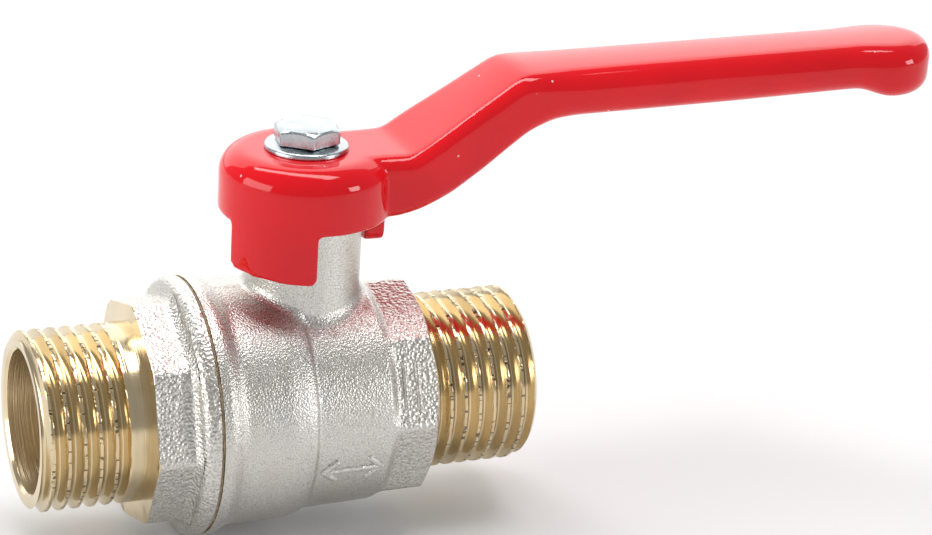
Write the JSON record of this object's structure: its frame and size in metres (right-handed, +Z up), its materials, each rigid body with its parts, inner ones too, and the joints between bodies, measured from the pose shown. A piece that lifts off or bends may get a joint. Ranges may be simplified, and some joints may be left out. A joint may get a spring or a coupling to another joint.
{
  "type": "ball valve",
  "caption": "Two-piece quarter-turn ball valve for a half-inch pipe, with male threads at both ends and a cranked red lever.",
  "frame": {"origin": "the ball's centre, where the pipe axis meets the stem axis", "axes": "+X along the pipe from the screwed-in end adapter to the body's own threaded end, which is where the lever points when the valve is open; +Z up the stem; +Y away from the side that carries the flow arrow"},
  "size_m": [0.1139, 0.0304, 0.0552],
  "materials": {
    "plated_brass": "nickel plate over a shot-blasted forging, satin and grainy",
    "machined_brass": "turned bright, fine turning lines",
    "sealant": "cured anaerobic sealant squeezed out of the joint",
    "ptfe": "smooth waxy white",
    "chromed_brass": "polished hard chrome",
    "nitrile": "moulded matt black",
    "red_enamel": "thick high-gloss coating over a die casting",
    "zinc_steel": "bright bluish zinc plate"
  },
  "bodies": {
    "valve": {"valve_body": "plated_brass", "end_adapter": "machined_brass", "joint_sealant": "sealant", "seat_inlet": "ptfe", "seat_outlet": "ptfe"},
    "ball": {"ball": "chromed_brass"},
    "handle": {"handle": "red_enamel", "handle_washer": "zinc_steel", "handle_bolt": "zinc_steel", "stem": "machined_brass", "stem_thrust_washer": "ptfe", "stem_o_ring_lower": "nitrile", "stem_o_ring_upper": "nitrile"}
  },
  "joints": [
    {"name": "handle_turn", "type": "hinge", "parent": "valve", "child": "handle", "pos_m": [0, 0, 0], "axis": [0, 0, 1], "range_deg": [-90, 0]},
    {"name": "ball_turn", "type": "hinge", "parent": "valve", "child": "ball", "pos_m": [0, 0, 0], "axis": [0, 0, 1], "range_deg": [-90, 0]}
  ],
  "couplings": [
    {"joint": "ball_turn", "follows": "handle_turn", "ratio": 1}
  ]
}
